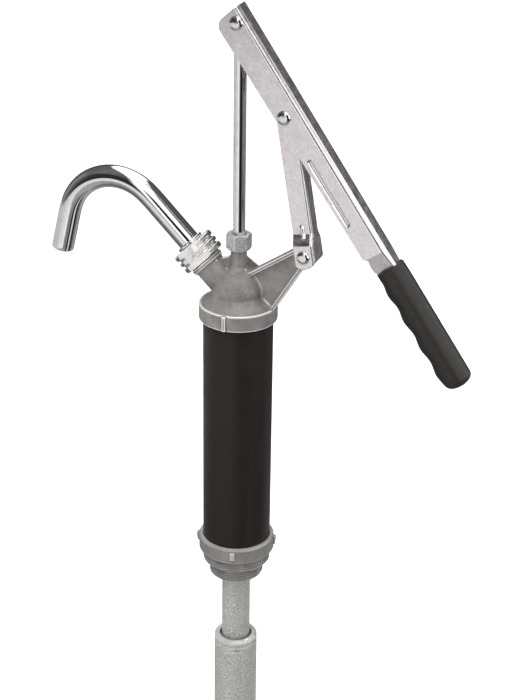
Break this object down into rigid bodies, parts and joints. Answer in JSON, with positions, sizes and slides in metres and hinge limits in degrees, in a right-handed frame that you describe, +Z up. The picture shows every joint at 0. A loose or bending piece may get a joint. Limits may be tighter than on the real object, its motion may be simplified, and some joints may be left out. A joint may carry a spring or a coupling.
{
  "type": "lever-action drum transfer pump",
  "caption": "Hand-operated piston pump that screws into a drum bung; a lever strokes the rod and liquid leaves by a curved spout.",
  "frame": {"origin": "on the pump's axis, in the plane of the shoulder that seats on the drum's bung", "axes": "+Z up along the cylinder and rod, -X towards the spout, +X towards the arm and lever, +Y away from the lever's front side"},
  "size_m": [0.3718, 0.0702, 1.0158],
  "materials": {
    "cylinder_tube": "satin black enamel",
    "head_casting": "rough die casting, tumbled edges",
    "head_gasket": "matte",
    "gland_nut": "zinc plated",
    "gland_packing": "matte",
    "spout_nut": "die cast, satin",
    "spout_seal": "matte",
    "fulcrum_pin": "zinc plated",
    "bung_adapter": "rough die casting",
    "base_gasket": "matte",
    "foot_valve_seat": "machined",
    "foot_valve_cage": "machined",
    "foot_valve_disc": "matte",
    "inner_suction_tube": "galvanised",
    "outer_suction_tube": "galvanised",
    "suction_seal": "matte",
    "spout_tube": "bright plated",
    "spout_collar": "bright plated",
    "piston_rod": "bright plated",
    "piston_body": "machined",
    "piston_follower": "machined",
    "piston_cup": "matte",
    "piston_valve_disc": "matte",
    "piston_nut": "machined",
    "handle_channel": "bright nickel-zinc plate",
    "handle_grip": "dipped vinyl",
    "rod_pin": "zinc plated",
    "link_rivet_front": "zinc plated",
    "link_rivet_back": "zinc plated",
    "link_channel": "bright nickel-zinc plate"
  },
  "bodies": {
    "barrel": {"cylinder_tube": "cylinder_tube", "head_casting": "head_casting", "head_gasket": "head_gasket", "gland_nut": "gland_nut", "gland_packing": "gland_packing", "spout_nut": "spout_nut", "spout_seal": "spout_seal", "fulcrum_pin": "fulcrum_pin", "bung_adapter": "bung_adapter", "base_gasket": "base_gasket", "foot_valve_seat": "foot_valve_seat", "foot_valve_cage": "foot_valve_cage", "inner_suction_tube": "inner_suction_tube"},
    "foot_valve": {"foot_valve_disc": "foot_valve_disc"},
    "suction_extension": {"outer_suction_tube": "outer_suction_tube", "suction_seal": "suction_seal"},
    "spout": {"spout_tube": "spout_tube", "spout_collar": "spout_collar"},
    "rod": {"piston_rod": "piston_rod", "piston_body": "piston_body", "piston_follower": "piston_follower", "piston_cup": "piston_cup", "piston_nut": "piston_nut"},
    "piston_valve": {"piston_valve_disc": "piston_valve_disc"},
    "handle": {"handle_channel": "handle_channel", "handle_grip": "handle_grip", "rod_pin": "rod_pin", "link_rivet_front": "link_rivet_front", "link_rivet_back": "link_rivet_back"},
    "link": {"link_channel": "link_channel"}
  },
  "joints": [
    {"name": "rod_stroke", "type": "slide", "parent": "barrel", "child": "rod", "axis": [0, 0, 1], "range_m": [-0.1242, 0]},
    {"name": "handle_swing", "type": "hinge", "parent": "rod", "child": "handle", "pos_m": [0, 0, 0.476], "axis": [0, -1, 0], "range_deg": [0, 110]},
    {"name": "link_swing", "type": "hinge", "parent": "barrel", "child": "link", "pos_m": [0.06, 0, 0.2908], "axis": [0, 1, 0], "range_deg": [0, 5.5]},
    {"name": "spout_swivel", "type": "hinge", "parent": "barrel", "child": "spout", "pos_m": [-0.05, 0, 0.2911], "axis": [-0.7071, 0, 0.7071], "range_deg": [-90, 90]},
    {"name": "suction_slide", "type": "slide", "parent": "barrel", "child": "suction_extension", "axis": [0, 0, 1], "range_m": [-0.36, 0.05]},
    {"name": "piston_valve_lift", "type": "slide", "parent": "rod", "child": "piston_valve", "axis": [0, 0, 1], "range_m": [0, 0.005]},
    {"name": "foot_valve_lift", "type": "slide", "parent": "barrel", "child": "foot_valve", "axis": [0, 0, 1], "range_m": [0, 0.006]}
  ],
  "couplings": [
    {"joint": "rod_stroke", "follows": "handle_swing", "m_per_rad": -0.0646},
    {"joint": "link_swing", "follows": "handle_swing", "ratio": 0.0472}
  ]
}
